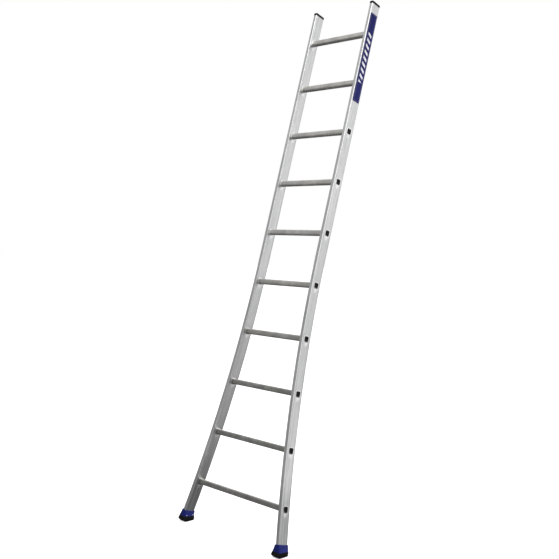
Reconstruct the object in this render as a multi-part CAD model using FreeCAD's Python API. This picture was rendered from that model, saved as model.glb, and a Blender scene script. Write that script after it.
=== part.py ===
import FreeCAD, Part
import math
import os

# A single-section aluminium leaning ladder with ten rungs and a splayed foot.
# It stands as in use: the soles lie flat on the ground at Z = 0 and the stiles lean back towards +Y.
# The origin is the bottom centre of its bounding box, X runs along the rungs and Z is up.
#
# Every piece is made in the ladder's own upright frame (X along the rungs, Y through the stiles'
# depth, Z along the stiles, Z = 0 where a stile's centre line meets the ground) and is then leaned back.
# The feet are made in the leaned frame, because their soles are cut to the ground. Units are millimetres.

# ---- driving dimensions: the whole ladder ----
LEAN_DEG = 15.0  # from the vertical, the usual four-to-one setting
LENGTH = 2908.0  # ground to the top of the caps, along the stiles
TOP_WIDTH = 422.0  # over the parallel part of the stiles
BEND_HEIGHT = 1485.0  # where the stiles start to splay
BEND_RADIUS = 7166.0  # of each stile's centre line
RUNG_COUNT = 10
RUNG_PITCH = 280.0
TOP_RUNG_BELOW_TOP = 178.0

# ---- stile section: a rounded rectangular tube ----
STILE_THICK = 20.0
STILE_DEPTH = 64.0
STILE_WALL = 1.6
STILE_CORNER = 3.5
STILE_END = 37.0  # the stile stops this far above the ground, inside its shoe
FLUTE_WIDTH = 2.4  # shallow flutes along both wide faces of the stile
FLUTE_DEPTH = 0.5
FLUTE_CORNER = 0.24
FLUTE_FROM_MIDDLE = 23.0

# ---- rung section: a rounded square tube with grip grooves ----
RUNG_SIZE = 28.0
RUNG_WALL = 1.6
RUNG_CORNER = 7.0
GROOVE_COUNT = 5
GROOVE_PITCH = 3.0
GROOVE_WIDTH = 1.4
GROOVE_DEPTH = 0.6
GROOVE_STOP = 30.0  # the grooves end this far from a stile's centre line
COLLAR_WIDTH = 2.0  # swaged ring around the rung, outside and inside the stile
OUTER_COLLAR = 0.8
INNER_COLLAR = 1.8

# ---- end plugs of the rungs ----
PLUG_LENGTH = 14.0  # inside the rung
PLUG_WALL = 2.0
PLUG_FLANGE = 0.3  # its thickness, on the end of the rung
PLUG_RIM = 0.6  # how far the flange reaches past the rung's outside

# ---- top caps ----
CAP_HEIGHT = 12.0
CAP_LIP = 1.5
CAP_EDGE = 2.0
CAP_SPIGOT = 26.0
CAP_SPIGOT_WALL = 2.0
FIT_GAP = 0.2

# ---- name plate, left blank ----
PLATE_LENGTH = 504.0
PLATE_WIDTH = 52.0
PLATE_CORNER = 3.0
PLATE_THICK = 1.6
PLATE_BELOW_TOP = 66.0

# ---- shoes and soles ----
SHOE_TOP = 55.0  # above the ground, along the stile
SHOE_WALL = 4.0
SHOE_CORNER = 6.0
SPIGOT_ABOVE_END = 50.0
SPIGOT_ROOT = 2.0  # how deep the spigot starts in the shoe's body
SOLE_INNER_X = 319.0
SOLE_OUTER_X = 375.0
SOLE_FRONT_Y = -38.0
SOLE_BACK_Y = 38.0
SOLE_CORNER = 9.0
SOLE_WIDEST = 14.0  # height at which the sole is widest
SOLE_DRAFT = 3.0  # the ground face is this far in from each side
TREAD_FRONT_Y = -22.5  # the ground face starts here, behind the raised toe
TREAD_BACK_Y = 37.5
JOINT_INNER_X = 322.0  # outline of the joint between shoe and sole
JOINT_FRONT_Y = -29.5
JOINT_BACK_Y = 38.0
JOINT_HEIGHT = 25.5  # at its middle
JOINT_TILT_DEG = 6.5  # higher at the front
SHOE_STEP = 1.0  # the shoe is this much smaller than the joint all round
TREAD_DEPTH = 3.0
TREAD_WIDTH = 3.5
TREAD_PITCH = 10.5
TREAD_COUNT = 5
RIVET_RADIUS = 3.2
RIVET_HEAD = 1.6
RIVET_LENGTH = 9.0
RIVET_SEAT = 0.5  # how deep the head sits in the wall
RIVET_SPACING = 40.0
RIVET_ABOVE_JOINT = 5.0

# ---- worked out ----
CENTRE_X = (TOP_WIDTH - STILE_THICK) / 2
HALF_THICK = STILE_THICK / 2
FAR = 200.0  # longer than anything it has to cut through
CLEAR = 5.0  # how far a cutting shape runs past what it cuts
TOOL_CORNER = 0.3  # corner radius of cutting shapes, where it leaves no mark
TINY = 0.01
MESH_TOLERANCE = 0.05
UP = FreeCAD.Vector(0, 0, 1)
BEND_AXIS_POINT = FreeCAD.Vector(CENTRE_X + BEND_RADIUS, 0, BEND_HEIGHT)


def vector(x, y, z):
    return FreeCAD.Vector(x, y, z)


def rounded_wire(half_u, half_v, radius, place):
    """A rectangle with round corners; place turns (u, v) into a point."""
    points = []
    corners = ((1, 1), (-1, 1), (-1, -1), (1, -1))
    for quarter, (u_side, v_side) in enumerate(corners):
        for turn in (0, 45, 90):
            angle = math.radians(90 * quarter + turn)
            u = u_side * (half_u - radius) + radius * math.cos(angle)
            v = v_side * (half_v - radius) + radius * math.sin(angle)
            points.append(place(u, v))
    edges = []
    for first in range(0, len(points), 3):
        start, middle, end = points[first:first + 3]
        following = points[(first + 3) % len(points)]
        edges.append(Part.Arc(start, middle, end).toShape())
        edges.append(Part.LineSegment(end, following).toShape())
    return Part.Wire(edges)


def along_stile(distance):
    """How far the right stile's centre line has moved out, its height and its slope,
    at a distance along the stile from the start of the bend. Below it, the distance is negative."""
    if distance >= 0:
        return 0.0, BEND_HEIGHT + distance, 0.0
    angle = -distance / BEND_RADIUS
    out = BEND_RADIUS * (1 - math.cos(angle))
    height = BEND_HEIGHT - BEND_RADIUS * math.sin(angle)
    return out, height, angle


def distance_at(height):
    """The distance along the stile from the start of the bend, at a height in the upright frame."""
    if height >= BEND_HEIGHT:
        return height - BEND_HEIGHT
    return -BEND_RADIUS * math.asin((BEND_HEIGHT - height) / BEND_RADIUS)


def stile_layer(x_low, x_high, half_depth, radius, low, high, middle_y=0.0):
    """A bar that follows the right stile between two heights. Its section runs from x_low to x_high
    off the stile's centre line, so it can be the stile, its bore or a thin layer on one face.
    The flat front and back stay split where the bend starts, so the straight part has faces of its own."""
    middle = CENTRE_X + (x_low + x_high) / 2
    half = (x_high - x_low) / 2
    straight_low = max(low, BEND_HEIGHT)
    pieces = []
    if high > BEND_HEIGHT:
        wire = rounded_wire(
            half, half_depth, radius, lambda u, v: vector(middle + u, middle_y + v, straight_low)
        )
        pieces.append(Part.Face(wire).extrude(UP * (high - straight_low)))
    if low < BEND_HEIGHT:
        start = 0.0
        if high < BEND_HEIGHT:
            start = -distance_at(high) / BEND_RADIUS
        sweep = -distance_at(low) / BEND_RADIUS - start
        wire = rounded_wire(
            half, half_depth, radius, lambda u, v: vector(middle + u, middle_y + v, BEND_HEIGHT)
        )
        face = Part.Face(wire)
        face.rotate(BEND_AXIS_POINT, vector(0, -1, 0), math.degrees(start))
        pieces.append(face.revolve(BEND_AXIS_POINT, vector(0, -1, 0), math.degrees(sweep)))
    bar = pieces[0]
    for piece in pieces[1:]:
        bar = bar.fuse(piece)
    return bar


def rung_prism(half_size, radius, height, half_length):
    """A rounded square bar along X at a rung's height."""
    wire = rounded_wire(half_size, half_size, radius, lambda u, v: vector(-half_length, u, height + v))
    return Part.Face(wire).extrude(vector(2 * half_length, 0, 0))


def mirrored(shape):
    return shape.mirror(vector(0, 0, 0), vector(1, 0, 0))


def both_sides(shape):
    return Part.Compound([shape, mirrored(shape)])


def leaned(shape):
    """The shape leaned back about the ground line."""
    turned = shape.copy()
    turned.rotate(vector(0, 0, 0), vector(1, 0, 0), -LEAN_DEG)
    return turned


def rung_heights():
    """Heights of the rungs from the bottom one up; they are evenly spaced along the bent stiles."""
    top = distance_at(LENGTH - TOP_RUNG_BELOW_TOP)
    distances = [top - RUNG_PITCH * step for step in reversed(range(RUNG_COUNT))]
    return [along_stile(distance)[1] for distance in distances]


def make_rung(height):
    """A rung tube that passes through both stiles and is swaged on each side of them."""
    half = RUNG_SIZE / 2
    bore_half = half - RUNG_WALL
    bore_corner = RUNG_CORNER - RUNG_WALL
    reach = CENTRE_X + along_stile(distance_at(height))[0] + FAR / 2
    bar = rung_prism(half, RUNG_CORNER, height, reach)
    lip = HALF_THICK + OUTER_COLLAR
    beyond = stile_layer(lip, lip + FAR, FAR / 2, TOOL_CORNER, height - FAR / 2, height + FAR / 2)
    bar = bar.cut(both_sides(beyond))
    inner_x = CENTRE_X + along_stile(distance_at(height))[0] - GROOVE_STOP
    for row in range(GROOVE_COUNT):
        y = (row - (GROOVE_COUNT - 1) / 2) * GROOVE_PITCH
        for side in (-1, 1):
            floor = height + side * (half - GROOVE_DEPTH / 2)
            low = vector(-inner_x, y - GROOVE_WIDTH / 2, floor - GROOVE_DEPTH / 2)
            bar = bar.cut(Part.makeBox(2 * inner_x, GROOVE_WIDTH, GROOVE_DEPTH, low))
    ring = rung_prism(half + COLLAR_WIDTH, RUNG_CORNER + COLLAR_WIDTH, height, reach)
    for x_low, x_high in ((HALF_THICK, HALF_THICK + OUTER_COLLAR), (-HALF_THICK - INNER_COLLAR, -HALF_THICK)):
        layer = stile_layer(x_low, x_high, STILE_DEPTH / 2, TOOL_CORNER, height - FAR / 2, height + FAR / 2)
        bar = bar.fuse(both_sides(ring.common(layer)))
    bar = bar.cut(rung_prism(bore_half, bore_corner, height, reach))
    return bar.removeSplitter()


def make_rung_plug(height):
    """The right-hand cup that closes a rung's end, with a thin flange over the swaged lip."""
    half = RUNG_SIZE / 2 - RUNG_WALL
    corner = RUNG_CORNER - RUNG_WALL
    reach = CENTRE_X + along_stile(distance_at(height))[0] + FAR / 2
    seat_x = HALF_THICK + OUTER_COLLAR
    face_x = seat_x + PLUG_FLANGE
    low = height - FAR / 4
    high = height + FAR / 4
    mouth_x = seat_x - PLUG_LENGTH
    zone = stile_layer(mouth_x, face_x, FAR / 4, TOOL_CORNER, low, high)
    flange_zone = stile_layer(seat_x, face_x, FAR / 4, TOOL_CORNER, low, high)
    hollow_zone = stile_layer(mouth_x - CLEAR, face_x - PLUG_WALL, FAR / 4, TOOL_CORNER, low, high)
    cup = rung_prism(half, corner, height, reach).common(zone)
    rim = rung_prism(RUNG_SIZE / 2 + PLUG_RIM, RUNG_CORNER + PLUG_RIM, height, reach).common(flange_zone)
    hollow = rung_prism(half - PLUG_WALL, corner - PLUG_WALL / 2, height, reach).common(hollow_zone)
    return cup.fuse(rim).cut(hollow).removeSplitter()


def make_stile(heights):
    """The right stile: a bent tube with shallow flutes, pierced for every rung."""
    top = LENGTH - CAP_HEIGHT
    tube = stile_layer(-HALF_THICK, HALF_THICK, STILE_DEPTH / 2, STILE_CORNER, STILE_END, top)
    bore_x = HALF_THICK - STILE_WALL
    bore_y = STILE_DEPTH / 2 - STILE_WALL
    low = STILE_END - CLEAR
    high = top + CLEAR
    tube = tube.cut(stile_layer(-bore_x, bore_x, bore_y, STILE_CORNER - STILE_WALL, low, high))
    for y in (-FLUTE_FROM_MIDDLE, FLUTE_FROM_MIDDLE):
        for face_x in (-HALF_THICK, HALF_THICK):
            x_low = face_x - FLUTE_DEPTH
            x_high = face_x + FLUTE_DEPTH
            tube = tube.cut(stile_layer(x_low, x_high, FLUTE_WIDTH / 2, FLUTE_CORNER, low, high, y))
    for height in heights:
        reach = CENTRE_X + along_stile(distance_at(height))[0] + FAR / 2
        tube = tube.cut(rung_prism(RUNG_SIZE / 2, RUNG_CORNER, height, reach))
    return tube


def make_cap():
    """The right top cap: a lid with a hollow spigot inside the stile."""
    top = LENGTH - CAP_HEIGHT
    half_x = HALF_THICK + CAP_LIP
    half_y = STILE_DEPTH / 2 + CAP_LIP
    wire = rounded_wire(half_x, half_y, STILE_CORNER + CAP_LIP, lambda u, v: vector(CENTRE_X + u, v, top))
    lid = Part.Face(wire).extrude(UP * CAP_HEIGHT)
    rim = [edge for edge in lid.Edges if edge.BoundBox.ZMin > LENGTH - TINY]
    lid = lid.makeFillet(CAP_EDGE, rim)
    outer_x = HALF_THICK - STILE_WALL - FIT_GAP
    outer_y = STILE_DEPTH / 2 - STILE_WALL - FIT_GAP
    spigot = stile_layer(-outer_x, outer_x, outer_y, STILE_CORNER - STILE_WALL, top - CAP_SPIGOT, top)
    inner_x = outer_x - CAP_SPIGOT_WALL
    inner_y = outer_y - CAP_SPIGOT_WALL
    hollow = stile_layer(-inner_x, inner_x, inner_y, TOOL_CORNER, top - CAP_SPIGOT - CLEAR, top)
    return lid.fuse(spigot.cut(hollow)).removeSplitter()


def make_plate(behind):
    """The blank name plate on the right stile's outer face, relieved over the rungs and plugs behind it."""
    high = LENGTH - PLATE_BELOW_TOP
    low = high - PLATE_LENGTH
    x = CENTRE_X + HALF_THICK
    wire = rounded_wire(
        PLATE_WIDTH / 2, PLATE_LENGTH / 2, PLATE_CORNER, lambda u, v: vector(x, u, (low + high) / 2 + v)
    )
    plate = Part.Face(wire).extrude(vector(PLATE_THICK, 0, 0))
    for shape in behind:
        plate = plate.cut(shape)
    return plate


def foot_joint(inset):
    """The rounded outline of the slanting joint between the right shoe and its sole, in the leaned frame."""
    tilt = math.radians(JOINT_TILT_DEG)
    middle_x = (JOINT_INNER_X + SOLE_OUTER_X) / 2
    middle_y = (JOINT_FRONT_Y + JOINT_BACK_Y) / 2
    return rounded_wire(
        (SOLE_OUTER_X - JOINT_INNER_X) / 2 - inset, (JOINT_BACK_Y - JOINT_FRONT_Y) / 2 - inset,
        SOLE_CORNER - inset,
        lambda u, v: vector(middle_x + u, middle_y + v * math.cos(tilt), JOINT_HEIGHT - v * math.sin(tilt)),
    )


def sole_outline(front_y, back_y, inset, height):
    """A rounded level outline of the right sole."""
    middle_x = (SOLE_INNER_X + SOLE_OUTER_X) / 2
    middle_y = (front_y + back_y) / 2
    return rounded_wire(
        (SOLE_OUTER_X - SOLE_INNER_X) / 2 - inset, (back_y - front_y) / 2, SOLE_CORNER,
        lambda u, v: vector(middle_x + u, middle_y + v, height),
    )


def make_sole():
    """The right sole: a rubber block that is flat on the ground, with treads cut across it."""
    ground = sole_outline(TREAD_FRONT_Y, TREAD_BACK_Y, SOLE_DRAFT, 0)
    widest = sole_outline(SOLE_FRONT_Y, SOLE_BACK_Y, 0, SOLE_WIDEST)
    sole = Part.makeLoft([ground, widest, foot_joint(0)], True, True)
    middle_y = (TREAD_FRONT_Y + TREAD_BACK_Y) / 2
    for row in range(TREAD_COUNT):
        y = middle_y + (row - (TREAD_COUNT - 1) / 2) * TREAD_PITCH - TREAD_WIDTH / 2
        length = SOLE_OUTER_X - SOLE_INNER_X + 2 * CLEAR
        corner = vector(SOLE_INNER_X - CLEAR, y, -CLEAR)
        sole = sole.cut(Part.makeBox(length, TREAD_WIDTH, TREAD_DEPTH + CLEAR, corner))
    return sole


def shoe_top_wire():
    """The outline of the right shoe's upper edge, square to the bent stile, in the leaned frame."""
    out, height, slope = along_stile(distance_at(SHOE_TOP))
    lean = math.radians(LEAN_DEG)

    def place(u, v):
        x = CENTRE_X + out + u * math.cos(slope)
        z = height + u * math.sin(slope)
        return vector(x, v * math.cos(lean) + z * math.sin(lean), z * math.cos(lean) - v * math.sin(lean))

    return rounded_wire(HALF_THICK + SHOE_WALL, STILE_DEPTH / 2 + SHOE_WALL, SHOE_CORNER, place)


def make_shoe(stile):
    """The right shoe: a moulding around the stile's end, with a spigot up inside it."""
    body = Part.makeLoft([foot_joint(SHOE_STEP), shoe_top_wire()], True, True)
    high = SHOE_TOP + FAR
    pocket = leaned(stile_layer(-HALF_THICK, HALF_THICK, STILE_DEPTH / 2, STILE_CORNER, STILE_END, high))
    outer_x = HALF_THICK - STILE_WALL - FIT_GAP
    outer_y = STILE_DEPTH / 2 - STILE_WALL - FIT_GAP
    low = STILE_END - SPIGOT_ROOT
    high = STILE_END + SPIGOT_ABOVE_END
    spigot = leaned(stile_layer(-outer_x, outer_x, outer_y, STILE_CORNER - STILE_WALL, low, high))
    return body.cut(pocket).fuse(spigot).removeSplitter()


def make_rivets(shoe):
    """Two rivets through the right shoe's inner wall, in the leaned frame, as a group of solids."""
    tilt = math.radians(JOINT_TILT_DEG)
    middle_y = (JOINT_FRONT_Y + JOINT_BACK_Y) / 2
    rivets = []
    for side in (-1, 1):
        v = side * RIVET_SPACING / 2
        y = middle_y + v * math.cos(tilt)
        z = JOINT_HEIGHT + RIVET_ABOVE_JOINT - v * math.sin(tilt)
        probe = Part.makeLine(vector(SOLE_INNER_X - CLEAR, y, z), vector(SOLE_INNER_X + FAR / 4, y, z))
        wall_x = probe.common(shoe).BoundBox.XMin
        shank = Part.makeCylinder(RIVET_RADIUS / 2, RIVET_LENGTH, vector(wall_x, y, z), vector(1, 0, 0))
        face_x = wall_x - RIVET_HEAD
        head = Part.makeCylinder(RIVET_RADIUS, RIVET_HEAD + RIVET_SEAT, vector(face_x, y, z), vector(1, 0, 0))
        rim = [edge for edge in head.Edges if edge.BoundBox.XMax < face_x + TINY]
        rivets.append(head.makeFillet(RIVET_HEAD / 2, rim).fuse(shank))
    return Part.Compound(rivets)


def solids_of(shape):
    """A lone solid as itself, several as a compound of solids."""
    if len(shape.Solids) == 1:
        return shape.Solids[0]
    return Part.Compound(shape.Solids)


def build():
    """Every sub-part by name, in the leaned frame with a stile's foot at the origin of Y."""
    heights = rung_heights()
    parts = {}
    stile = make_stile(heights)
    rungs = [make_rung(height) for height in heights]
    plugs = [make_rung_plug(height) for height in heights]
    parts["right_stile"] = leaned(stile)
    parts["left_stile"] = leaned(mirrored(stile))
    for number, (rung, plug) in enumerate(zip(rungs, plugs), start=1):
        parts[f"rung_{number:02d}"] = leaned(rung)
        parts[f"right_rung_plug_{number:02d}"] = leaned(plug)
        parts[f"left_rung_plug_{number:02d}"] = leaned(mirrored(plug))
    cap = make_cap()
    parts["right_top_cap"] = leaned(cap)
    parts["left_top_cap"] = leaned(mirrored(cap))
    parts["name_plate"] = leaned(make_plate(rungs[-2:] + plugs[-2:]))
    shoe = make_shoe(stile)
    rivets = make_rivets(shoe)
    shoe = shoe.cut(rivets)
    sole = make_sole()
    for name, shape in (("shoe", shoe), ("sole", sole), ("shoe_rivets", rivets)):
        parts[f"right_{name}"] = shape
        parts[f"left_{name}"] = mirrored(shape)
    return {name: solids_of(shape) for name, shape in parts.items()}


def centred(parts):
    """The parts moved along Y until the bounding box is centred on the origin."""
    reach = [point.y for shape in parts.values() for point in shape.tessellate(MESH_TOLERANCE)[0]]
    shift = vector(0, -(min(reach) + max(reach)) / 2, 0)
    for shape in parts.values():
        shape.translate(shift)
    return parts, shift.y


os.makedirs("parts", exist_ok=True)
finished, moved = centred(build())
for name, shape in finished.items():
    if not shape.isValid():
        print("not valid:", name)
    shape.exportStep(f"parts/{name}.step")
box = Part.Compound(list(finished.values())).BoundBox
print(f"{len(finished)} parts, {box.XLength:.1f} x {box.YLength:.1f} x {box.ZLength:.1f} mm")
print(f"shifted along Y by {moved:.3f} mm, lowest point {box.ZMin:.3f} mm")
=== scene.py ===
# %% [markdown]
# # A leaning ladder, finished around its CAD frame
# The imported CAD model comes in first, because every finished piece takes its place from it. Two bent
# stiles carry ten rungs, and each foot is a moulded shoe on a rubber sole.

# %% Load the frame
import math

import bmesh
import bpy
from mathutils import Matrix, Vector


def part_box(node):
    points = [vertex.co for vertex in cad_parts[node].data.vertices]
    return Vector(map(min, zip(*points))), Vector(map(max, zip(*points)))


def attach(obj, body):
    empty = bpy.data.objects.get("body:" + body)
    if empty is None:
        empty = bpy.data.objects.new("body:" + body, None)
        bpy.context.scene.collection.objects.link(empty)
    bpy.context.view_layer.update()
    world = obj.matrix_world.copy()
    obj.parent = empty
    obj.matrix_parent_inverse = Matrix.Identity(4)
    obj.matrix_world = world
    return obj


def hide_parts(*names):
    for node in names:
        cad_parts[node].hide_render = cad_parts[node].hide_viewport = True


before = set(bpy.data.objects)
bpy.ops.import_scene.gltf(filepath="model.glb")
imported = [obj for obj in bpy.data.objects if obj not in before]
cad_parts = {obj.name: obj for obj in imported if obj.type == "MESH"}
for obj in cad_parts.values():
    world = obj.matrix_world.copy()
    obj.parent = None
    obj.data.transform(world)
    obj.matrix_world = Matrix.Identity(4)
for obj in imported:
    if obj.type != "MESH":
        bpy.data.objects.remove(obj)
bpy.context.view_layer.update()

MM = 0.001
print("the frame holds", len(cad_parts), "nodes")

# %% [markdown]
# ## The ladder's own upright frame
# A ladder is drawn upright and then leaned back. The same is done here: pieces are modelled upright,
# where along, across and through are the three axes, and one matrix leans them. The top rung's box
# in the frame says where the line through the two feet lies, so nothing has to be fitted by eye.

# %% Lean and bend
LEAN = math.radians(15)
BEND_HEIGHT = 1485 * MM
BEND_RADIUS = 7166 * MM
STILE_CENTRE = 201 * MM
HALF_STILE = 10 * MM
STILE_DEPTH = 64 * MM


def middle_of(node):
    low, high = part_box(node)
    return (low + high) / 2


top_rung_middle = middle_of("rung_10")
foot_line = top_rung_middle.y - top_rung_middle.z * math.tan(LEAN)
stand = Matrix.Translation((0, foot_line, 0)) @ Matrix.Rotation(-LEAN, 4, "X")
print(f"the feet stand on the line y = {foot_line:.4f} m")


# %% Where a stile runs at a height
def stile_at(height):
    """How far out a stile's centre line is from the middle, and its slope, at an upright height."""
    drop = max(0.0, BEND_HEIGHT - height)
    slope = math.asin(drop / BEND_RADIUS)
    return STILE_CENTRE + BEND_RADIUS * (1 - math.cos(slope)), slope


ground_out, ground_slope = stile_at(0)
print(f"at the ground a stile is {ground_out:.3f} m out and slopes {math.degrees(ground_slope):.1f} degrees")

# %% [markdown]
# ## The camera
# The ladder is seen from its right and a little in front, from a standing person's eye height. A
# camera looks along its own -Z axis, so its matrix is built from the three directions it should have:
# right, up and backwards. A small roll tips the view the way a hand-held camera does.

# %% Camera
EYE = Vector((3.0519, -3.2451, 1.4780))
HEADING = math.radians(-43.96)
PITCH = math.radians(-2.25)
ROLL = math.radians(2.04)
FOCAL_LENGTH = 53.97
SENSOR_WIDTH = 36

ahead = Vector((
    math.sin(HEADING) * math.cos(PITCH),
    math.cos(HEADING) * math.cos(PITCH),
    math.sin(PITCH),
))
level_right = ahead.cross(Vector((0, 0, 1))).normalized()
level_up = level_right.cross(ahead)
up = math.cos(ROLL) * level_up - math.sin(ROLL) * level_right
right = ahead.cross(up)
lens = bpy.data.cameras.new("camera")
lens.lens = FOCAL_LENGTH
lens.sensor_width = SENSOR_WIDTH
camera = bpy.data.objects.new("camera", lens)
camera.matrix_world = Matrix.Translation(EYE) @ Matrix((right, up, -ahead)).transposed().to_4x4()
bpy.context.scene.collection.objects.link(camera)
bpy.context.scene.camera = camera
print("the camera stands at", tuple(round(value, 2) for value in EYE))

# %% [markdown]
# ## Studio
# A pale floor that merges with a white background keeps attention on the ladder. It glows a little by
# itself, so that it stays pale far from the lamps. It is left out of reflections and of bounced light,
# because a white floor would brighten the underside of every rung.

# %% Floor
FLOOR_RADIUS = 60
FLOOR_GREY = (0.92, 0.92, 0.92, 1)
FLOOR_GLOW = 0.62
bpy.context.scene.view_settings.view_transform = "Standard"
bpy.ops.object.select_all(action="DESELECT")
bpy.ops.mesh.primitive_circle_add(vertices=96, radius=FLOOR_RADIUS, fill_type="NGON")
floor = bpy.context.object
floor.name = "studio_floor"
floor.visible_glossy = False
floor.visible_diffuse = False
floor_paint = bpy.data.materials.new("pale_floor")
floor_paint.use_nodes = True
floor_shader = floor_paint.node_tree.nodes["Principled BSDF"]
floor_shader.inputs["Base Color"].default_value = FLOOR_GREY
floor_shader.inputs["Roughness"].default_value = 0.9
floor_shader.inputs["Emission Color"].default_value = (1, 1, 1, 1)
floor_shader.inputs["Emission Strength"].default_value = FLOOR_GLOW
floor.data.materials.append(floor_paint)
print("the floor is", 2 * FLOOR_RADIUS, "m across")

# %% [markdown]
# ## Sums on sockets
# A finish is a small calculation done at every point of a surface. Written as nodes and links it is
# long and hard to read, so one small class stands for a socket and lets it be added, multiplied and
# compared like a number. Each operator adds one Math node. Every other node comes from one method.


# %% A socket that can be calculated with
class Reading:
    """One output socket. Arithmetic on it adds Math nodes to its node tree."""

    def __init__(self, sheet, socket):
        self.sheet = sheet
        self.socket = socket

    def math(self, operation, *values):
        inputs = dict(enumerate(values))
        return self.sheet.node("ShaderNodeMath", {"operation": operation}, inputs)

    def __add__(self, other):
        return self.math("ADD", self, other)

    def __sub__(self, other):
        return self.math("SUBTRACT", self, other)

    def __rsub__(self, other):
        return self.math("SUBTRACT", other, self)

    def __mul__(self, other):
        return self.math("MULTIPLY", self, other)

    def __truediv__(self, other):
        return self.math("DIVIDE", self, other)

    __radd__ = __add__
    __rmul__ = __mul__

    def size(self):
        return self.math("ABSOLUTE", self)

    def root(self):
        return self.math("SQRT", self)

    def at_least(self, limit):
        return self.math("MAXIMUM", self, limit)

    def step(self, low, high):
        """0 below low, 1 above high, and a soft change between them. It falls if high is the smaller."""
        inputs = {"Value": self, "From Min": low, "From Max": high}
        return self.sheet.node("ShaderNodeMapRange", {"interpolation_type": "SMOOTHSTEP"}, inputs)


# %% A node tree that hands out readings
class Sheet:
    """A node tree under construction."""

    def __init__(self, tree):
        self.tree = tree

    def feed(self, socket, value):
        if isinstance(value, Reading):
            self.tree.links.new(value.socket, socket)
        else:
            socket.default_value = value

    def node(self, kind, settings=None, inputs=None, output=0):
        """Adds a node. Its settings are made first, and its stops if it is a ramp, then its sockets."""
        made = self.tree.nodes.new(kind)
        settings = dict(settings or {})
        for place, shade in settings.pop("stops", []):
            made.color_ramp.elements.new(place).color = (shade, shade, shade, 1)
        for name, value in settings.items():
            setattr(made, name, value)
        for name, value in (inputs or {}).items():
            self.feed(made.inputs[name], value)
        return Reading(self, made.outputs[output])

    def parts(self, vector):
        """The three numbers of a vector."""
        split = self.node("ShaderNodeSeparateXYZ", inputs={0: vector}).socket.node
        return [Reading(self, socket) for socket in split.outputs]

    def blend(self, first, second, amount):
        """From one colour to another."""
        inputs = {"Factor": amount, 6: first, 7: second}
        return self.node("ShaderNodeMix", {"data_type": "RGBA"}, inputs, output=2)

# %% [markdown]
# ## Light by direction
# Satin aluminium is a blurred mirror, so what stands around it decides how it looks. The world's own
# background can play that part. It is graded by direction: dark below, bright behind, and dimmer in
# front near eye level. The camera itself sees plain white. Lamps would give small hard highlights, so
# only two wide, weak ones are added.

# %% Light by direction
WHITE = (1, 1, 1, 1)
world = bpy.data.worlds.new("studio")
world.use_nodes = True
bpy.context.scene.world = world
sky = Sheet(world.node_tree)
direction = sky.node("ShaderNodeTexCoord")
toward_x, toward_y, toward_z = sky.parts(direction)
level = toward_z * 0.5 + 0.5
behind = sky.node("ShaderNodeValToRGB", {"stops": [
    (0.06, 0.05), (0.21, 0.07), (0.27, 0.15), (0.32, 0.3), (0.37, 0.46), (0.46, 0.74),
    (0.5, 0.8), (0.55, 0.98), (0.6, 0.88), (0.66, 0.8), (0.95, 0.8),
]}, {0: level})
in_front = sky.node("ShaderNodeValToRGB", {"stops": [
    (0.05, 0.05), (0.14, 0.1), (0.2, 0.2), (0.27, 0.4), (0.35, 0.35), (0.44, 0.2),
    (0.53, 0.22), (0.6, 0.3), (0.68, 0.46), (0.75, 0.5), (0.95, 0.62),
]}, {0: level})
facing_back = (toward_x * 0.5 + toward_y).step(-0.7, 0.8)
around = sky.blend(in_front, behind, facing_back)
backdrop = sky.node("ShaderNodeLightPath")
seen = sky.blend(around, WHITE, backdrop)
sky.feed(world.node_tree.nodes["Background"].inputs["Color"], seen)
print("the studio has", len(world.node_tree.nodes), "light nodes")


# %% Two wide soft lamps
def hang_lamp(name, place, target, width, watts):
    lamp = bpy.data.lights.new(name, "AREA")
    lamp.shape = "SQUARE"
    lamp.size = width
    lamp.energy = watts
    hung = bpy.data.objects.new(name, lamp)
    hung.location = place
    hung.rotation_euler = (Vector(target) - Vector(place)).to_track_quat("-Z", "Y").to_euler()
    bpy.context.scene.collection.objects.link(hung)


hang_lamp("overhead_lamp", (1.0, -1.5, 5.0), (0, 0, 1.2), 3.0, 90)
hang_lamp("side_lamp", (4.5, 1.0, 2.6), (0, 0, 1.4), 2.5, 40)
print(len(bpy.data.lights), "lamps hang in the studio")


# %% [markdown]
# ## A finish, and where a point lies on the ladder
# Every finish starts from the Principled shader. What is the same all over, such as the gloss level,
# is set once on its socket. What varies is a reading. Brushing and wear follow the ladder, not the
# room, so a Mapping node undoes the lean: the pattern then knows across, through and up. Below the
# bend the stiles drift outwards, so the same arc that bent them is subtracted from the across value.


# %% Finish
class Finish(Sheet):
    """A material with one Principled shader."""

    def __init__(self, name, **constants):
        self.material = bpy.data.materials.new(name)
        self.material.use_nodes = True
        super().__init__(self.material.node_tree)
        self.shader = self.tree.nodes["Principled BSDF"]
        for words, value in constants.items():
            self.shader.inputs[words.replace("_", " ")].default_value = value

    def give(self, words, value):
        self.feed(self.shader.inputs[words], value)

    def upright(self):
        """Across, through and up, in metres, with the lean undone."""
        place = self.node("ShaderNodeTexCoord", output=3)
        settings = {"vector_type": "TEXTURE"}
        inputs = {"Vector": place, "Location": (0, foot_line, 0), "Rotation": (-LEAN, 0, 0)}
        return self.parts(self.node("ShaderNodeMapping", settings, inputs))

    def noise(self, x, y, z, detail=2.0):
        """Soft random values between 0 and 1. A larger factor on an axis makes finer detail along it."""
        spot = self.node("ShaderNodeCombineXYZ", inputs={0: x, 1: y, 2: z})
        inputs = {"Vector": spot, "Scale": 1.0, "Detail": detail}
        return self.node("ShaderNodeTexNoise", inputs=inputs)

    def relief(self, height, strength, depth):
        """Fine relief that catches the light."""
        inputs = {"Height": height, "Strength": strength, "Distance": depth}
        self.give("Normal", self.node("ShaderNodeBump", inputs=inputs))


# %% Following the bent stiles
RUNG_PITCH = 280 * MM


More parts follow.
